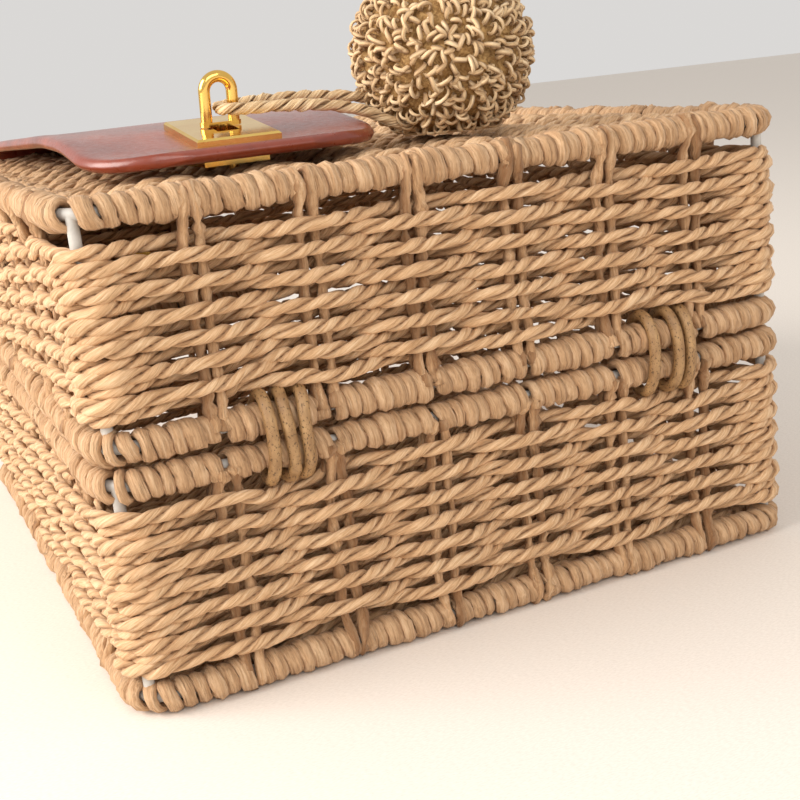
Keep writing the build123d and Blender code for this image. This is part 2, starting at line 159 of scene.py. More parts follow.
class Bundle:
    """Gathers tubes and becomes one mesh. Each point keeps its place in its own strand."""

    def __init__(self):
        self.points = []
        self.quads = []
        self.fans = []
        self.grain = []
        self.facing = []
        self.total = 0
        self.strands = 0

    def tube(self, centre, out, side, out_r, side_r, sides, closed, along, dent=None):
        """A tube round a line, out_r thick along out and side_r thick along side."""
        rings = len(centre)
        angle = np.arange(sides) * 2 * np.pi / sides
        out_r = np.broadcast_to(np.asarray(out_r, dtype=float), (rings,))[:, None]
        side_r = np.broadcast_to(np.asarray(side_r, dtype=float), (rings,))[:, None]
        reach = out_r * np.cos(angle)
        width = side_r * np.sin(angle)
        if dent is not None:
            reach = reach * dent
            width = width * dent
        skin = centre[:, None] + reach[..., None] * out[:, None] + width[..., None] * side[:, None]
        grain = np.stack([
            np.broadcast_to(along[:, None] + 61.7 * self.strands, reach.shape), reach, width
        ], axis=-1)
        # facing: how far each skin point faces along the tube's out direction; the paper materials
        # paint shade where it faces inward, into crevices.
        facing = np.broadcast_to(np.cos(angle), reach.shape)
        index = self.total + np.arange(rings * sides).reshape(rings, sides)
        near, far = (index, np.roll(index, -1, axis=0)) if closed else (index[:-1], index[1:])
        quads = np.stack([
            near, far, np.roll(far, -1, axis=1), np.roll(near, -1, axis=1)
        ], axis=-1).reshape(-1, 4)
        self.points.append(skin.reshape(-1, 3))
        self.grain.append(grain.reshape(-1, 3))
        self.facing.append(facing.reshape(-1))
        self.quads.append(quads)
        self.total += rings * sides
        self.strands += 1
        if not closed:
            self.cap(centre, index[0], 0, grain[0], 1, out_r, side_r)
            self.cap(centre, index[-1], -1, grain[-1], -1, out_r, side_r)

    def cap(self, centre, ring, end, grain, inward, out_r, side_r):
        """A slightly domed end for an open tube."""
        tip = centre[end] - 0.5 * float(min(out_r[end, 0], side_r[end, 0])) * unit(
            centre[end + inward] - centre[end]
        )
        around = np.roll(ring, -1)
        tip_index = np.full(len(ring), self.total)
        fan = (ring, around, tip_index) if inward == 1 else (around, ring, tip_index)
        self.fans.append(np.stack(fan, axis=-1))
        self.points.append(tip[None])
        self.grain.append(grain.mean(axis=0)[None])
        self.facing.append(np.zeros(1))
        self.total += 1

    def rope(self, line, across, turns, closed, rng, plump=1.0, sides=6):
        """Two crumpled plies laid round each other along a line."""
        _, normal, cross = frames(line, across, closed)
        gaps = np.linalg.norm(np.roll(line, -1, axis=0) - line, axis=1)
        along = np.concatenate(([0.0], np.cumsum(gaps)[:-1]))
        whole = gaps.sum() if closed else along[-1]
        u = along / whole
        slack = ripple(u, 2, 60, 0.45, rng)
        phase = -2 * np.pi * turns * u + slack + rng.random() * 6
        swell = plump * (1 + ripple(u, 3, 60, 0.045, rng))
        for ply in (0, 1):
            turn = phase + ply * np.pi
            out = np.cos(turn)[:, None] * normal + np.sin(turn)[:, None] * cross
            side = -np.sin(turn)[:, None] * normal + np.cos(turn)[:, None] * cross
            knead = 1 + ripple(u, 30, 160, 0.08, rng)
            flat = 1 + ripple(u, 20, 140, 0.08, rng)
            off = 0.80 * swell
            self.tube(
                line + off[:, None] * out, out, side,
                0.95 * swell * knead, 1.34 * swell * flat, sides, closed, along,
            )

    def strand(self, line, radius, rng, sides=6, crumple=0.2):
        """One crumpled paper strand along a line."""
        _, normal, cross = frames(line, carried(line), False)
        along = lengths(line)
        u = along / along[-1]
        cycles = max(int(along[-1] / 2.5), 4)
        wide = radius * (1 + ripple(u, 2, cycles, crumple, rng))
        tall = radius * (1 + ripple(u, 2, cycles, crumple, rng))
        twist = ripple(u, 1, 5, 1.2, rng)
        out = np.cos(twist)[:, None] * normal + np.sin(twist)[:, None] * cross
        side = -np.sin(twist)[:, None] * normal + np.cos(twist)[:, None] * cross
        dent = 1 + 0.5 * crumple * rng.normal(size=(len(line), sides))
        self.tube(line, out, side, wide, tall, sides, False, along, dent)

    def build(self, name, material):
        """The mesh object, in metres."""
        points = np.concatenate(self.points) * MM
        points[:, 2] = np.maximum(points[:, 2], LOWEST_Z * MM)
        quads = np.concatenate(self.quads)
        fans = np.concatenate(self.fans) if self.fans else np.zeros((0, 3), dtype=int)
        obj = mesh_object(name, points, quads, fans, material)
        add_attribute(obj.data, "grain", np.concatenate(self.grain))
        add_number(obj.data, "facing", np.concatenate(self.facing))
        return obj


def mesh_object(name, points, quads, fans, material):
    """A smooth mesh object from arrays of points, four-sided faces and triangles."""
    mesh = bpy.data.meshes.new(name)
    corners = np.concatenate([quads.reshape(-1), fans.reshape(-1)]).astype(np.int32)
    sizes = np.concatenate([np.full(len(quads), 4), np.full(len(fans), 3)]).astype(np.int32)
    mesh.vertices.add(len(points))
    mesh.vertices.foreach_set("co", points.astype(np.float32).reshape(-1))
    mesh.loops.add(len(corners))
    mesh.loops.foreach_set("vertex_index", corners)
    mesh.polygons.add(len(sizes))
    starts = np.concatenate(([0], np.cumsum(sizes)[:-1])).astype(np.int32)
    mesh.polygons.foreach_set("loop_start", starts)
    mesh.polygons.foreach_set("use_smooth", np.ones(len(sizes), dtype=bool))
    mesh.update(calc_edges=True)
    mesh.materials.append(material)
    obj = bpy.data.objects.new(name, mesh)
    bpy.context.scene.collection.objects.link(obj)
    return obj


def add_attribute(mesh, name, vectors):
    """A vector for each point of the mesh, for its material to read."""
    layer = mesh.attributes.new(name, "FLOAT_VECTOR", "POINT")
    layer.data.foreach_set("vector", vectors.astype(np.float32).reshape(-1))


def add_number(mesh, name, numbers):
    """A number for each point of the mesh, for its material to read."""
    layer = mesh.attributes.new(name, "FLOAT", "POINT")
    layer.data.foreach_set("value", numbers.astype(np.float32))


# ---- material tools -------------------------------------------------------------------------
class Nodes:
    """A material's node tree, written one line to a node."""

    def __init__(self, name):
        self.material = bpy.data.materials.new(name)
        self.material.use_nodes = True
        self.tree = self.material.node_tree
        self.shader = self.tree.nodes["Principled BSDF"]

    def add(self, kind, inputs=None, **settings):
        node = self.tree.nodes.new("ShaderNode" + kind)
        for key, value in settings.items():
            setattr(node, key, value)
        for key, value in (inputs or {}).items():
            if isinstance(value, bpy.types.NodeSocket):
                self.tree.links.new(value, node.inputs[key])
            else:
                node.inputs[key].default_value = value
        return node

    def attribute(self, name, output):
        return self.add("Attribute", attribute_name=name).outputs[output]

    def scaled(self, vector, scale, offset=(0, 0, 0)):
        node = self.add("Mapping", {"Vector": vector, "Scale": scale, "Location": offset})
        return node.outputs["Vector"]

    def noise(self, vector, scale, detail=3.0, roughness=0.55, distortion=0.0):
        node = self.add("TexNoise", {
            "Vector": vector, "Scale": scale, "Detail": detail, "Roughness": roughness,
            "Distortion": distortion,
        })
        return node.outputs["Fac"]

    def ramp(self, factor, *stops):
        node = self.add("ValToRGB", {"Fac": factor})
        band = node.color_ramp
        while len(band.elements) < len(stops):
            band.elements.new(0.5)
        for element, (place, colour) in zip(band.elements, stops):
            element.position = place
            element.color = colour if len(colour) == 4 else (*colour, 1)
        return node.outputs["Color"]

    def math(self, operation, first, second=0.0, clamp=False):
        node = self.add("Math", {0: first, 1: second}, operation=operation, use_clamp=clamp)
        return node.outputs["Value"]

    def spread(self, value, low, high, to_low=0.0, to_high=1.0):
        node = self.add("MapRange", {
            "Value": value, "From Min": low, "From Max": high, "To Min": to_low, "To Max": to_high,
        })
        return node.outputs["Result"]

    def mix(self, factor, first, second, blend="MIX"):
        node = self.add("Mix", data_type="RGBA", blend_type=blend)
        for socket, value in ((0, factor), (6, first), (7, second)):
            if isinstance(value, bpy.types.NodeSocket):
                self.tree.links.new(value, node.inputs[socket])
            else:
                node.inputs[socket].default_value = value
        return node.outputs[2]

    def bumps(self, *layers):
        """Bump layers on top of each other: (height, strength, distance in metres)."""
        below = None
        for height, strength, distance in layers:
            inputs = {"Height": height, "Strength": strength, "Distance": distance}
            if below is not None:
                inputs["Normal"] = below
            below = self.add("Bump", inputs).outputs["Normal"]
        self.tree.links.new(below, self.shader.inputs["Normal"])

    def colour(self, value):
        self.link("Base Color", value)

    def link(self, name, value):
        self.tree.links.new(value, self.shader.inputs[name])

    def fixed(self, **values):
        for key, value in values.items():
            self.shader.inputs[key.replace("_", " ")].default_value = value


def linear(red, green, blue):
    """A display colour, 0 to 255 a channel, as the linear colour Blender wants."""
    def one(value):
        value /= 255
        return value / 12.92 if value <= 0.04045 else ((value + 0.055) / 1.055) ** 2.4
    return (one(red), one(green), one(blue), 1.0)


def paper(name, dark, mid, light, wrinkle=1.0):
    """Twisted or crumpled kraft paper: fine folds along each strand, and painted shade in the
    crevices, where each strand faces in toward its neighbour or its core.
    """
    n = Nodes(name)
    grain = n.attribute("grain", "Vector")
    facing = n.attribute("facing", "Fac")
    fold = n.noise(n.scaled(grain, (0.16, 1.5, 1.5)), 1.0, 4.0, 0.6, 0.3)
    fine = n.noise(n.scaled(grain, (0.5, 5.0, 5.0)), 1.0, 3.0, 0.6)
    patch = n.noise(n.scaled(grain, (0.045, 0.05, 0.05)), 1.0, 2.0)
    shade = n.math("ADD", n.math("MULTIPLY", fold, 0.55), n.math("MULTIPLY", fine, 0.25))
    shade = n.math("ADD", shade, n.math("MULTIPLY", patch, 0.25))
    body = n.ramp(shade, (0.36, dark), (0.52, mid), (0.68, light))
    # Painted shade: the side of each strand that faces inward, into the crevice between plies or
    # against a rim's core, is mixed toward dark brown.
    inside = n.spread(facing, -0.85, 0.15, 0.62, 0.0)
    n.colour(n.mix(inside, body, linear(112, 66, 26)))
    n.link("Roughness", n.spread(fold, 0.3, 0.7, 0.82, 0.62))
    n.bumps((fold, 0.85 * wrinkle, 0.0006), (fine, 0.5 * wrinkle, 0.0002))
    n.fixed(Specular_IOR_Level=0.3, Sheen_Weight=0.08, Sheen_Roughness=0.5)
    return n.material


kraft = paper("kraft_paper", linear(168, 124, 82), linear(214, 173, 130), linear(241, 208, 168))
kraft_rim = paper(
    "kraft_rim_paper", linear(150, 111, 76), linear(198, 158, 118), linear(230, 195, 156), 1.5
)
kraft_stake = paper(
    "kraft_stake_paper", linear(154, 112, 74), linear(200, 158, 116), linear(230, 194, 154), 1.4
)
raffia = paper(
    "raffia", linear(176, 140, 98), linear(222, 190, 146), linear(246, 224, 188), 0.6
)


# ---- pompom cord ----------------------------------------------------------------------------
CORD_ROUTE = [
    (-2.0, -65.0, 129.3), (-13.0, -64.0, 130.9), (-25.0, -65.1, 131.6), (-35.0, -66.6, 131.6),
    (-44.5, -67.5, 131.2), (-44.5, -74.3, 130.4), (-35.5, -75.0, 130.2), (-25.0, -76.4, 129.8),
    (-15.0, -76.0, 128.3), (-7.0, -75.2, 126.0), (-0.5, -74.2, 122.5), (6.0, -73.6, 121.0),
]


def smooth_line(route):
    """The points of the cord's own line: a NURBS spline with the route as its control points."""
    data = bpy.data.curves.new("cord_line", "CURVE")
    data.dimensions = "3D"
    data.resolution_u = 24
    spline = data.splines.new("NURBS")
    spline.points.add(len(route) - 1)
    for point, place in zip(spline.points, route):
        point.co = (*(Vector(place) * MM), 1)
    spline.order_u = 3
    spline.use_endpoint_u = True
    curve = bpy.data.objects.new("cord_line", data)
    bpy.context.scene.collection.objects.link(curve)
    bpy.context.view_layer.update()
    mesh = bpy.data.meshes.new_from_object(curve)
    line = np.array([vertex.co[:] for vertex in mesh.vertices]) / MM
    bpy.data.objects.remove(curve)
    bpy.data.meshes.remove(mesh)
    return line


def make_pompom_cord():
    rng = np.random.default_rng(11)
    line = smooth_line(CORD_ROUTE)
    along = lengths(line)
    bundle = Bundle()
    normal = carried(line)
    _, normal, cross = frames(line, normal, False)
    for ply in (0, 1):
        turn = -2 * np.pi * along / 10.5 + ply * np.pi + ripple(along / along[-1], 1, 8, 0.3, rng)
        out = np.cos(turn)[:, None] * normal + np.sin(turn)[:, None] * cross
        side = -np.sin(turn)[:, None] * normal + np.cos(turn)[:, None] * cross
        u = along / along[-1]
        for strip in range(5):
            lean = (strip - 2) * 0.42
            depth = 0.98 - 0.10 * (strip - 2) ** 2 + 0.08 * rng.normal()
            wander = ripple(u, 2, 12, 0.10, rng)
            place = line + (depth + wander)[:, None] * out + (lean + wander)[:, None] * side
            bundle.tube(
                place, out, side, 0.42 * (1 + ripple(u, 4, 30, 0.1, rng)),
                0.44 * (1 + ripple(u, 4, 30, 0.12, rng)), 6, False, along,
            )
        bundle.tube(line + 0.72 * out, out, side, 0.75, 0.95, 8, False, along)
    cord = bundle.build("pompom_raffia_cord", raffia)
    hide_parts("pompom_cord")
    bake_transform(cord)


make_pompom_cord()


# ---- the rim line ---------------------------------------------------------------------------
LONG = 2 * (RING_X - BEND)
SHORT = 2 * (RING_Y - BEND)
ARC = math.pi / 2 * BEND
LEGS = np.cumsum([0, LONG, ARC, SHORT, ARC, LONG, ARC, SHORT, ARC])
RING_LENGTH = float(LEGS[-1])


def ring_line(s):
    """Points and outward directions round the rim line, s along it from the front left."""
    s = np.mod(np.asarray(s, dtype=float), RING_LENGTH)
    x, y, angle = np.zeros_like(s), np.zeros_like(s), np.zeros_like(s)
    signs = ((1, -1), (1, 1), (-1, 1), (-1, -1))
    for quarter in range(4):
        heading = math.radians(90 * quarter)
        low, mid, high = LEGS[2 * quarter], LEGS[2 * quarter + 1], LEGS[2 * quarter + 2]
        sx, sy = signs[quarter]
        corner_x, corner_y = sx * (RING_X - BEND), sy * (RING_Y - BEND)
        straight = (s >= low) & (s < mid)
        back = mid - s[straight]
        out = heading - math.pi / 2
        x[straight] = corner_x + BEND * math.cos(out) - back * math.cos(heading)
        y[straight] = corner_y + BEND * math.sin(out) - back * math.sin(heading)
        angle[straight] = out
        bent = (s >= mid) & (s < high)
        turned = out + (s[bent] - mid) / BEND
        x[bent] = corner_x + BEND * np.cos(turned)
        y[bent] = corner_y + BEND * np.sin(turned)
        angle[bent] = turned
    zero = np.zeros_like(s)
    return np.stack([x, y, zero], axis=1), np.stack([np.cos(angle), np.sin(angle), zero], axis=1)


def ring_posts():
    """Where the stakes and the corners stand along the rim line."""
    front = [x + RING_X - BEND for x in SIDE_STAKES]
    right = [LEGS[2] + y + RING_Y - BEND for y in END_STAKES]
    back = [LEGS[4] + RING_X - BEND - x for x in reversed(SIDE_STAKES)]
    left = [LEGS[6] + RING_Y - BEND - y for y in reversed(END_STAKES)]
    stakes = front + right + back + left
    corners = [LEGS[2 * i + 1] + ARC / 2 for i in range(4)]
    return stakes, corners


STAKE_S, CORNER_S = ring_posts()


def in_and_out(s, parity, swing, corner_swing):
    """How far a woven row stands outside the middle of the wall."""
    stops = [(at, swing * (-1) ** (i + parity)) for i, at in enumerate(STAKE_S)]
    stops += [(at, corner_swing) for at in CORNER_S]
    stops.sort()
    stops = [(stops[-1][0] - RING_LENGTH, stops[-1][1])] + stops
    stops += [(stops[1][0] + RING_LENGTH, stops[1][1])]
    out = np.zeros_like(s)
    for (low, before), (high, after) in zip(stops[:-1], stops[1:]):
        span = (s >= low) & (s < high)
        hold = 3.2 / (high - low)
        u = np.clip(((s[span] - low) / (high - low) - hold) / (1 - 2 * hold), 0, 1)
        out[span] = before + (after - before) * (0.5 - 0.5 * np.cos(np.pi * u))
        if before * after > 0:
            out[span] -= 0.35 * np.sign(before) * np.sin(np.pi * u)
    return out


# ---- woven walls ----------------------------------------------------------------------------
ROPE_TURN = 13.5            # length of one full turn of the two plies
ROWS = 13
WALL_SWING = 2.45           # how far a row stands in or out as it passes a stake
CORNER_SWING = 1.9          # the same at a corner, where rows stand out by turns


def weave_walls(name, z_low, z_high, parity, seed, lashing_side):
    """One half's woven walls, row by row. lashing_side is -1 where the loops pass below it."""
    rng = np.random.default_rng(seed)
    bundle = Bundle()
    count = int(RING_LENGTH / 1.45)
    u = np.arange(count) / count
    s = np.mod(CORNER_S[1] + RING_LENGTH * u, RING_LENGTH)
    point, out = ring_line(s)
    corner = sum(bump(s, at - 3.5, at + 3.5, 5) for at in CORNER_S)
    corner = corner + bump(s - RING_LENGTH, CORNER_S[0] - 3.5, CORNER_S[0] + 3.5, 5)
    front = point[:, 1] < -RING_Y + 1
    crowd = bump(point[:, 0], min(LEFT_LASHING) - 1, max(LEFT_LASHING) + 1, 9)
    crowd = np.where(front, crowd + bump(point[:, 0], 47.5, 60.5, 9), 0)
    pitch = (z_high - z_low) / ROWS
    turns = round(RING_LENGTH / ROPE_TURN)
    for row in range(ROWS):
        z = z_low + (row + 0.5) * pitch + ripple(u, 2, 22, 0.16, rng) + ripple(u, 1, 3, 0.12, rng)
        near = row if lashing_side < 0 else ROWS - 1 - row
        z = z - lashing_side * crowd * max(1.75 - 0.35 * near, 0)
        knuckle = CORNER_SWING + 0.5 * (-1) ** (row + parity)
        swing = in_and_out(s, row + parity, WALL_SWING, knuckle) + ripple(u, 4, 60, 0.16, rng)
        line = point + swing[:, None] * out
        line[:, 2] = z
        bundle.rope(line, out, turns, True, rng, 1 + 0.16 * corner)
    return bundle.build(name, kraft)


base_walls = weave_walls("base_wall_rope", 10.05, 48.95, 0, 21, 1)
lid_walls = weave_walls("lid_wall_rope", 69.05, 106.90, 1, 22, -1)
for walls, body in ((base_walls, "base"), (lid_walls, "lid")):
    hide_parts(body + "_side_weave")
    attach(walls, body)


# ---- woven panels ---------------------------------------------------------------------------
def weave_panel(name, z, seed, step):
    """A flat woven panel: one rope that runs to and fro, in and out of the stakes."""
    rng = np.random.default_rng(seed)
    rows, reach, edge = 68, 84.6, 99.4
    pitch = 2 * edge / (rows - 1)
    line = []
    for row in range(rows):
        y = -edge + row * pitch
        x = np.linspace(-reach + pitch / 2, reach - pitch / 2, 100)
        u = x / (2 * reach) + 0.5
        stops = [-reach - 14] + SIDE_STAKES + [reach + 14]
        values = [2.4 * (-1) ** (i + row) for i in range(len(stops))]
        swing = np.interp(x, stops, values)
        swing = 2.4 * np.sin(np.clip(swing / 2.4, -1, 1) * np.pi / 2)
        points = np.stack([x, np.full_like(x, y) + ripple(u, 1, 14, 0.13, rng), swing], axis=1)
        line.append(points if row % 2 == 0 else points[::-1])
        if row < rows - 1:
            turn = np.radians(np.linspace(-90, 90, 5))[1:-1]
            side = 1 if row % 2 == 0 else -1
            bend_x = side * (reach - pitch / 2 + pitch / 2 * np.cos(turn))
            bend_y = y + pitch / 2 + pitch / 2 * np.sin(turn)
            line.append(np.stack([bend_x, bend_y, np.zeros_like(turn)], axis=1))
    line = spaced(np.concatenate(line), step)
    line[:, 2] += z
    bundle = Bundle()
    up = np.broadcast_to((0.0, 0.0, 1.0), line.shape)
    bundle.rope(line, up, lengths(line)[-1] / ROPE_TURN, False, rng, sides=5)
    return bundle.build(name, kraft)


for body, panel, z, seed, step in (
    ("base", "bottom", BASE_FOOT_Z + 0.15, 23, 3.0), ("lid", "top", LID_TOP_Z, 24, 2.1)
):
    weave = weave_panel(f"{body}_{panel}_rope", z, seed, step)
    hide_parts(f"{body}_{panel}_weave")
    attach(weave, body)


# ---- rim wraps ------------------------------------------------------------------------------
def wrap_rim(name, z, seed, bare):
    """A puffed paper ribbon wound round a rim, parted where the stakes go round it."""
    rng = np.random.default_rng(seed)
    bundle = Bundle()
    down = np.array((0.0, 0.0, -1.0))
    half = 0.8
    starts = sorted(STAKE_S)
    runs = [(a + half, b - half) for a, b in zip(starts, starts[1:] + [starts[0] + RING_LENGTH])]
    spans = []
    for low, high in runs:
        spot = [c for c in CORNER_S + [CORNER_S[0] + RING_LENGTH] if low < c < high]
        gap = bare.get(CORNER_S.index(spot[0] % RING_LENGTH) if spot else None, 0)
        spans += [(low, spot[0] - gap / 2), (spot[0] + gap / 2, high)] if gap else [(low, high)]
    for low, high in spans:
        count = max(int(round((high - low) / 3.5)), 1)
        widths = np.clip(1 + 0.2 * rng.normal(size=count), 0.6, 1.5)
        edges = low + np.concatenate(([0], np.cumsum(widths))) * (high - low) / widths.sum()
        theta = np.linspace(0, 2 * np.pi * count, 12 * count + 1)
        turn = theta / (2 * np.pi)
        s = np.interp(turn, np.arange(count + 1), edges)
        width = np.interp(turn, np.arange(count) + 0.5, np.diff(edges))
        puff = np.interp(turn, np.arange(count) + 0.5, 1 + 0.08 * rng.normal(size=count))
        point, out = ring_line(s)
        phase = theta + rng.random() * 0.6 + 2.5
        arm = np.cos(phase)[:, None] * out + np.sin(phase)[:, None] * down
        tangent = np.stack([-out[:, 1], out[:, 0], np.zeros(len(s))], axis=1)
        radius = 2.85 * puff
        line = point + radius[:, None] * arm
        line[:, 2] += z
        along = 2 * np.pi * 2.85 * turn
        u = np.linspace(0, 1, len(s))
        pinch = 1 + ripple(u, count, 5 * count, 0.06, rng)
        crease = 1 + 0.07 * rng.normal(size=(len(s), 7))
        depth = np.clip(0.17 + 0.12 * ripple(u, count // 2 + 1, 3 * count, 1.0, rng), 0, 0.4)
        place = (rng.integers(0, 3, size=count)[np.minimum(turn.astype(int), count - 1)] - 1) % 7
        crease[np.arange(len(s)), place] -= depth
        bundle.tube(
            line, arm, tangent, 1.22 * puff * pinch, 0.56 * width * pinch, 7, False, along, crease
        )
    return bundle.build(name, kraft_rim)


RIMS = (
    ("base_bottom_rim", "base", BASE_FOOT_Z, 31, {}),
    ("base_seam_rim", "base", BASE_SEAM_Z, 32, {3: 1.5}),
    ("lid_seam_rim", "lid", LID_SEAM_Z, 33, {}),
    ("lid_top_rim", "lid", LID_TOP_Z, 34, {3: 2.5}),
)
for rim, body, z, seed, bare in RIMS:
    wrap = wrap_rim(rim + "_wrap", z, seed, bare)
    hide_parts(rim)
    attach(wrap, body)


# ---- stakes ---------------------------------------------------------------------------------
def round_rim(side, z, start, stop, radius, count=7):
    """Points of an arc round a long rim: angles in degrees from straight out, upwards."""
    angle = np.radians(np.linspace(start, stop, count))
    return [
        (side * (RING_Y + radius * math.cos(a)), z + radius * math.sin(a)) for a in angle
    ]


STRAND_R = 1.36


def stake_strands(name, seam_z, panel_z, up, seed, flat_low):
    """The crumpled strands of one half, which cross the panel and end round the seam rim."""
    rng = np.random.default_rng(seed)
    bundle = Bundle()

    def place(profile, x_of, jitter):
        """A long strand through the given (y, z) profile."""
        line = spaced(rounded([(0, y, z) for y, z in profile], 2), 1.6)
        u = np.linspace(0, 1, len(line))
        line[:, 0] = x_of(line) + ripple(u, 2, 26, jitter, rng)
        if flat_low:
            line[:, 2] = np.maximum(line[:, 2], 1.35)
        return line

    def side_half(side):
        """From inside the seam rim, round it, up the wall and over the panel's rim."""
        loop = round_rim(side, seam_z, 150 * up, -20 * up, 3.15)
        loop = [(side * (RING_Y - 1.6), seam_z + up * 7.5)] + loop
        wall = [(side * RING_Y, seam_z + up * 7.5), (side * RING_Y, panel_z - up * 8.5)]
        top = round_rim(side, panel_z, -20 * up, 75 * up, 3.0 if flat_low else 3.15)
        return loop + wall + top + [(side * (RING_Y - 6.5), panel_z)]

    def stake_x(middle, lean):
        """Close together over the rims, apart in the wall."""
        def at(line):
            low, high = sorted((seam_z, panel_z))
            depth = np.minimum(line[:, 2] - low, high - line[:, 2])
            apart = 1.25 + 0.75 * np.clip(depth / 7, 0, 1)
            flat = (np.abs(line[:, 1]) < RING_Y - 5) * 0.8
            return middle + lean * (apart + flat)
        return at

    for middle in SIDE_STAKES:
        for lean in (-1, 1):
            profile = side_half(-1) + side_half(1)[::-1]
            line = place(profile, stake_x(middle + 0.3 * rng.normal(), lean), 0.24)
            bundle.strand(line, STRAND_R, rng)
    for side in (-1, 1):
        for middle in END_STAKES:
            for lean in (-1, 1):
                profile = side_half(side)[:-1]
                turned = place(profile, stake_x(middle, lean), 0.14)
                shift = side * (RING_X - RING_Y)
                line = np.stack([turned[:, 1] + shift, turned[:, 0], turned[:, 2]], axis=1)
                bundle.strand(line, STRAND_R, rng)
    return bundle.build(name, kraft_stake)


for body, seam_z, panel_z, up, seed, panel in (
    ("base", BASE_SEAM_Z, BASE_FOOT_Z, -1, 41, "bottom"),
    ("lid", LID_SEAM_Z, LID_TOP_Z, 1, 42, "top"),
):
    stakes = stake_strands(f"{body}_stake_strands", seam_z, panel_z, up, seed, body == "base")
    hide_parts(f"{body}_side_stakes", f"{body}_{panel}_stakes")
    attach(stakes, body)


# ---- hinge lashings -------------------------------------------------------------------------
def waxed():
    """Smooth waxed cord: olive beige, with dark specks and a faint lay."""
    n = Nodes("waxed_cord")
    grain = n.attribute("grain", "Vector")
    specks = n.noise(n.scaled(grain, (1.6, 2.0, 2.0)), 1.0, 2.0, 0.5)
    soft = n.noise(n.scaled(grain, (0.25, 0.5, 0.5)), 1.0, 2.0)
    body = n.ramp(soft, (0.3, linear(142, 106, 68)), (0.7, linear(182, 144, 98)))
    n.colour(n.mix(n.spread(specks, 0.56, 0.66), body, linear(92, 66, 38)))
    fibre = n.noise(n.scaled(grain, (0.8, 6.0, 6.0)), 1.0, 3.0)
    n.bumps((specks, 0.3, 0.0003), (fibre, 0.35, 0.0002))
    n.link("Roughness", n.spread(fibre, 0.3, 0.7, 0.4, 0.58))
    n.fixed(Specular_IOR_Level=0.45, Coat_Weight=0.12, Coat_Roughness=0.35)
    return n.material


waxed_cord = waxed()


def lashing(name, spots, node, seed):
    """Closed loops of waxed cord round both seam rims."""
    rng = np.random.default_rng(seed)
    bundle = Bundle()
    loop_r = 5.9
    for x in spots:
        angle = np.linspace(0, 2 * np.pi, 73)[:-1]
        run = (LID_SEAM_Z - BASE_SEAM_Z) / 2
        middle = (LID_SEAM_Z + BASE_SEAM_Z) / 2
        height = np.sin(angle)
        y = -RING_Y + loop_r * np.cos(angle)
        z = middle + (loop_r + run * 0.98) * np.sign(height) * np.abs(height) ** 0.88
        u = angle / (2 * np.pi)
        sway = ripple(u, 1, 4, 0.28, rng)
        line = np.stack([x + sway, y, z], axis=1)
        out = np.stack([np.zeros_like(angle), np.cos(angle), np.sin(angle)], axis=1)
        _, normal, cross = frames(line, out, True)
        gaps = np.linalg.norm(np.roll(line, -1, axis=0) - line, axis=1)
        along = np.concatenate(([0.0], np.cumsum(gaps)[:-1]))
        thick = 1.48 * (1 + ripple(u, 3, 20, 0.02, rng))
        bundle.tube(line, normal, cross, thick, thick, 14, True, along)
    loops = bundle.build(name, waxed_cord)
    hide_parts(node)
    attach(loops, "hinge_cords")


lashing("left_lashing_loops", LEFT_LASHING, "hinge_cord_left", 51)
lashing("right_lashing_loops", RIGHT_LASHING, "hinge_cord_right", 52)


# ---- strap ----------------------------------------------------------------------------------
def leather():
    """Smooth reddish-brown leather: fine pores, soft creases and a glossy finish."""
    n = Nodes("strap_leather")
    place = n.add("TexCoord").outputs["Object"]
    pores = n.add("TexVoronoi", {"Vector": place, "Scale": 1500.0}).outputs["Distance"]
    grainy = n.noise(place, 700.0, 3.0)
    cloud = n.noise(place, 45.0, 3.0)
    crease = n.noise(n.scaled(place, (1.0, 0.35, 1.0)), 160.0, 4.0, 0.6, 0.6)
    body = n.ramp(
        n.math("ADD", n.math("MULTIPLY", cloud, 0.7), n.math("MULTIPLY", crease, 0.3)),
        (0.35, linear(112, 42, 22)), (0.5, linear(134, 54, 30)), (0.68, linear(156, 70, 42)),
    )
    n.colour(body)
    n.link("Roughness", n.spread(grainy, 0.3, 0.7, 0.26, 0.4))
    n.bumps((crease, 0.25, 0.0005), (grainy, 0.25, 0.00015), (pores, 0.2, 0.0001))
    n.fixed(Specular_IOR_Level=0.55, Coat_Weight=0.45, Coat_Roughness=0.25)
    return n.material


STRAP_HALF = 36.5
STRAP_THICK = 3.0
STRAP_CORNER = 22.0
STRAP_FRONT = -95.0         # where the strap's front edge ends, along Y
LID_LEVEL = 117.0           # the strap lies on the lid above this, hangs below it
SLOT_HALF_X = 3.9           # half the slot for the lock's post
SLOT_HALF_Y = 7.2


def strap_path():
    """The strap's middle line in Y and Z, from its front edge to its lower end."""
    corners = [
        (STRAP_FRONT, 121.68), (-85.0, 120.88), (-70.0, 123.13), (-55.0, 125.38), (-40.0, 125.85),
        (-25.0, 126.2), (0.0, 125.5), (60.0, 123.2), (106.0, 121.9), (112.0, 121.4),
        (112.5, 115.0), (112.5, 106.0), (111.6, 96.0), (111.5, 68.0),
    ]
    line = rounded([(LOCK_X, y, z) for y, z in corners], 2)
    return spaced(line, 1.6)


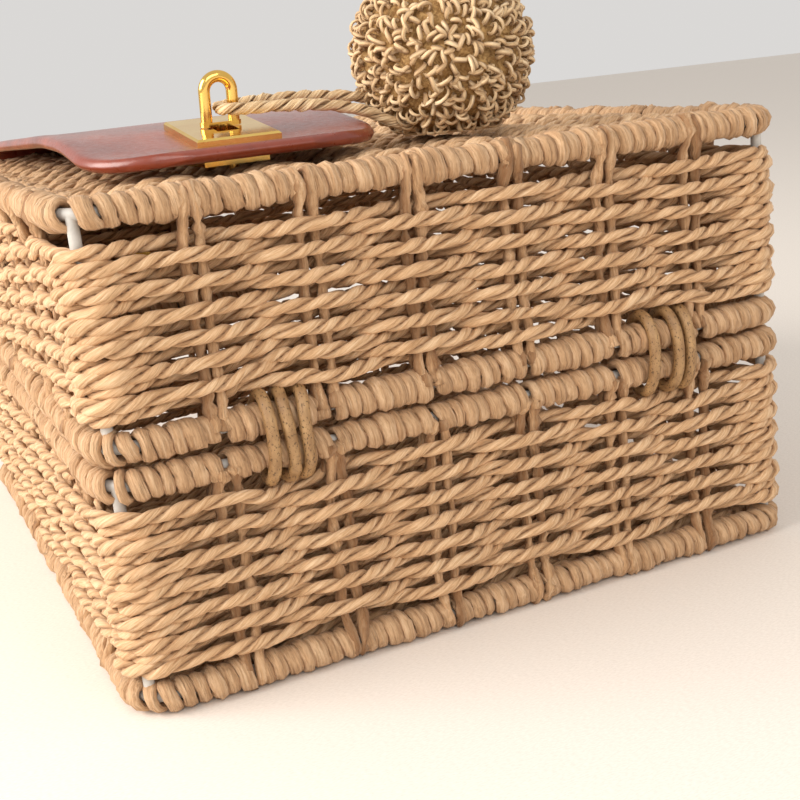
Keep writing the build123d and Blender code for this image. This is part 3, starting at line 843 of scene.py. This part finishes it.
def make_strap():
    """The strap, with rounded edges and corners, and a slot under the lock's plate."""
    middle = strap_path()
    rows = len(middle)
    run = middle[:, 1] - STRAP_FRONT
    flat = middle[:, 2] > LID_LEVEL
    bite = np.where(flat, np.clip(STRAP_CORNER - run, 0, STRAP_CORNER), 0)
    wide = STRAP_HALF - STRAP_CORNER + np.sqrt(np.maximum(STRAP_CORNER ** 2 - bite ** 2, 0.3))
    tangent = unit(np.gradient(middle, axis=0))
    normal = np.cross((1.0, 0.0, 0.0), tangent)
    columns = 57
    v = np.sin(np.linspace(-90, 90, columns) * math.pi / 180)
    v = 0.45 * v + 0.55 * np.linspace(-1, 1, columns)
    u = lengths(middle) / 100.0
    from_front = np.where(flat, run, STRAP_CORNER)
    top = np.zeros((rows, columns, 3))
    low = np.zeros((rows, columns, 3))
    for column, across in enumerate(v):
        x = wide * across
        edge = np.maximum(np.minimum(wide - np.abs(x), from_front + 0.02), 0)
        roll = np.clip(1 - edge / 1.7, 0, 1)
        half = STRAP_THICK / 2 * np.sqrt(np.clip(1 - roll ** 2, 0.02, 1))
        pad = 0.18 * np.exp(-((edge - 3.0) / 2.2) ** 2)
        soft = 0.1 * np.sin(7 * u + 2.2 * across) * bump(middle[:, 1], -20, 90, 20)
        base = middle + np.stack([x, np.zeros(rows), np.zeros(rows)], axis=1)
        top[:, column] = base + (half + pad + soft)[:, None] * normal
        low[:, column] = base - (half - soft)[:, None] * normal
    points = np.concatenate([top.reshape(-1, 3), low.reshape(-1, 3)])
    index = np.arange(rows * columns).reshape(rows, columns)
    other = index + rows * columns
    hole = (np.abs(middle[:, 1] - LOCK_Y) < SLOT_HALF_Y)[:, None]
    hole = hole & (np.abs(wide[:, None] * v) < SLOT_HALF_X)
    hole &= flat[:, None]
    cell = hole[:-1, :-1] & hole[1:, :-1] & hole[:-1, 1:] & hole[1:, 1:]
    keep = ~cell
    sheet = np.stack([index[:-1, :-1], index[1:, :-1], index[1:, 1:], index[:-1, 1:]], axis=-1)
    sheet = sheet[..., ::-1]
    under = sheet[..., ::-1] + rows * columns
    quads = [sheet[keep], under[keep]]
    for row, column in zip(*np.nonzero(cell)):
        corner = index[row, column], index[row + 1, column], index[row + 1, column + 1], index[
            row, column + 1
        ]
        for step, (first, second) in (
            ((-1, 0), (0, 3)), ((1, 0), (2, 1)), ((0, -1), (1, 0)), ((0, 1), (3, 2))
        ):
            if not cell[row + step[0], column + step[1]]:
                a, b = corner[first], corner[second]
                quads.append(np.array([(a, b, b + rows * columns, a + rows * columns)]))
    left = np.stack([index[:-1, 0], index[1:, 0], other[1:, 0], other[:-1, 0]], axis=-1)
    right = np.stack([index[1:, -1], index[:-1, -1], other[:-1, -1], other[1:, -1]], axis=-1)
    front = np.stack([index[0, 1:], index[0, :-1], other[0, :-1], other[0, 1:]], axis=-1)
    foot = np.stack([index[-1, :-1], index[-1, 1:], other[-1, 1:], other[-1, :-1]], axis=-1)
    quads += [left, right, front, foot]
    strap = mesh_object(
        "leather_strap", points * MM, np.concatenate(quads), np.zeros((0, 3), dtype=int), leather()
    )
    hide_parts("strap")
    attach(strap, "lid")


make_strap()


# ---- pompom ---------------------------------------------------------------------------------
def make_pompom():
    """A dense ball of small raffia curls on a rough core, pressed flat where it rests."""
    rng = np.random.default_rng(71)
    centre = np.array((16.5, LOCK_Y, 138.5))
    rest_z = 118.35
    bundle = Bundle()
    curls = 1060
    golden = math.pi * (3 - math.sqrt(5))
    for i in range(curls):
        up = 1 - 2 * (i + 0.5) / curls
        ring = math.sqrt(1 - up * up)
        turn = golden * i
        out = unit(np.array((ring * math.cos(turn), ring * math.sin(turn), up))
                   + 0.06 * rng.normal(size=3))
        side = unit(np.cross(out, rng.normal(size=3)))
        other = np.cross(out, side)
        size = 1.45 * (1 + 0.2 * rng.normal())
        steps = 11
        sweep = np.linspace(-2.5, 2.5, steps) * (1 + 0.1 * rng.normal())
        rise = 22.0 + 0.35 * rng.normal()
        spin = np.linspace(-0.9, 0.9, steps) * rng.normal()
        arc = centre + (rise + size * np.cos(sweep) - 0.2)[:, None] * out
        arc = arc + (size * np.sin(sweep))[:, None] * side + spin[:, None] * other
        arc[:, 2] = np.where(arc[:, 2] < rest_z + 0.8, rest_z + 0.8 + 0.1 * rng.random(), arc[:, 2])
        _, normal, cross = frames(arc, np.broadcast_to(other, arc.shape), False)
        bundle.tube(arc, normal, cross, 0.62, 0.38, 4, False, lengths(arc))
    ball = bundle.build("pompom_raffia_curls", raffia)
    core = pompom_core(centre, rest_z, rng)
    for piece in (ball, core):
        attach(piece, "lid")
    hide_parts("pompom")


def pompom_core(centre, rest_z, rng):
    """The rough ball that the curls stand on, coloured darker than the curls as painted shade in
    the gaps between them.
    """
    rows, columns = 40, 64
    tall = np.linspace(0, np.pi, rows)[1:-1]
    turn = np.arange(columns) * 2 * np.pi / columns
    ring = np.sin(tall)[:, None]
    way = np.stack([
        ring * np.cos(turn), ring * np.sin(turn),
        np.broadcast_to(np.cos(tall)[:, None], (rows - 2, columns)),
    ], axis=-1)
    radius = 21.3 + 0.5 * rng.normal(size=(rows - 2, columns))
    skin = centre + radius[..., None] * way
    ends = np.array([centre + (0, 0, 21.3), centre - (0, 0, 21.3)])
    points = np.concatenate([skin.reshape(-1, 3), ends])
    points[:, 2] = np.maximum(points[:, 2], rest_z + 0.5)
    index = np.arange((rows - 2) * columns).reshape(rows - 2, columns)
    after = np.roll(index, -1, axis=1)
    quads = np.stack([index[:-1], index[1:], after[1:], after[:-1]], axis=-1).reshape(-1, 4)
    top, bottom = len(points) - 2, len(points) - 1
    fans = np.concatenate([
        np.stack([index[0], after[0], np.full(columns, top)], axis=-1),
        np.stack([after[-1], index[-1], np.full(columns, bottom)], axis=-1),
    ])
    n = Nodes("raffia_core")
    spot = n.add("TexCoord").outputs["Object"]
    tangle = n.noise(spot, 600.0, 4.0, 0.6, 1.5)
    # Painted shade: the core is a darker raffia brown than the curls, so the gaps between the curls
    # read as shadowed.
    n.colour(n.ramp(tangle, (0.35, linear(128, 92, 50)), (0.65, linear(186, 148, 96))))
    n.bumps((tangle, 0.9, 0.001))
    n.fixed(Roughness=0.8, Specular_IOR_Level=0.25)
    return mesh_object("pompom_core", points * MM, quads, fans, n.material)


make_pompom()


# ---- metal ----------------------------------------------------------------------------------
def gold():
    """Bright polished gold plating with faint swirls and smudges."""
    n = Nodes("gold_plating")
    place = n.add("TexCoord").outputs["Object"]
    smudge = n.noise(place, 90.0, 3.0)
    swirl = n.noise(n.scaled(place, (1.0, 6.0, 1.0)), 900.0, 3.0)
    n.colour(n.ramp(smudge, (0.3, linear(240, 190, 92)), (0.7, linear(252, 218, 132))))
    n.link("Roughness", n.spread(smudge, 0.3, 0.7, 0.10, 0.2))
    n.bumps((swirl, 0.04, 0.0001))
    n.fixed(Metallic=1.0, Specular_IOR_Level=0.5)
    return n.material


def coated():
    """Pale grey coated wire."""
    n = Nodes("coated_wire")
    place = n.add("TexCoord").outputs["Object"]
    patch = n.noise(place, 220.0, 3.0)
    fine = n.noise(place, 1500.0, 2.0)
    n.colour(n.ramp(patch, (0.3, linear(176, 172, 166)), (0.7, linear(208, 204, 196))))
    n.link("Roughness", n.spread(patch, 0.3, 0.7, 0.42, 0.6))
    n.bumps((fine, 0.25, 0.00012))
    n.fixed(Specular_IOR_Level=0.4)
    return n.material


def paint(nodes, material):
    """Gives CAD nodes their finish."""
    for name in nodes:
        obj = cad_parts[name]
        for slot in obj.material_slots:
            slot.material = material


paint(
    ("lock_plate", "lock_plate_backing", "lock_base", "lock_back_plate", "lock_staple",
     "strap_rivets", "strap_washers"),
    gold(),
)
paint(("base_wire_frame", "lid_wire_frame"), coated())


# ---- floor and light ------------------------------------------------------------------------
def make_floor():
    size = 4.0
    points = np.array([(-size, -size, 0), (size, -size, 0), (size, size, 0), (-size, size, 0)])
    n = Nodes("floor_cloth")
    place = n.add("TexCoord").outputs["Object"]
    weave = n.noise(n.scaled(place, (1.0, 3.0, 1.0)), 900.0, 2.0)
    n.colour(n.ramp(weave, (0.3, linear(228, 219, 209)), (0.7, linear(240, 232, 223))))
    n.fixed(Roughness=0.9, Specular_IOR_Level=0.2)
    floor = mesh_object(
        "floor", points, np.array([(0, 1, 2, 3)]), np.zeros((0, 3), dtype=int), n.material
    )
    floor.location.z = -0.0002


def area_light(name, place, target, size, power, colour):
    data = bpy.data.lights.new(name, "AREA")
    data.shape = "RECTANGLE"
    data.size, data.size_y = size
    data.energy = power
    data.color = colour
    light = bpy.data.objects.new(name, data)
    light.location = place
    aim = Vector(target) - Vector(place)
    light.rotation_euler = aim.to_track_quat("-Z", "Y").to_euler()
    bpy.context.scene.collection.objects.link(light)


make_floor()
area_light("window", (-0.95, 0.03, 0.55), (0, -0.07, 0.06), (0.9, 0.7), 15.0, (1.0, 0.96, 0.91))
area_light("front_fill", (-0.15, -1.02, 0.75), (0, -0.07, 0.05), (0.9, 0.6), 4.8, (1.0, 0.97, 0.93))
world = bpy.data.worlds.new("soft_room")
world.use_nodes = True
world.node_tree.nodes["Background"].inputs["Color"].default_value = (0.95, 0.93, 0.91, 1)
world.node_tree.nodes["Background"].inputs["Strength"].default_value = 0.74
bpy.context.scene.world = world
bpy.context.scene.view_settings.view_transform = "Standard"
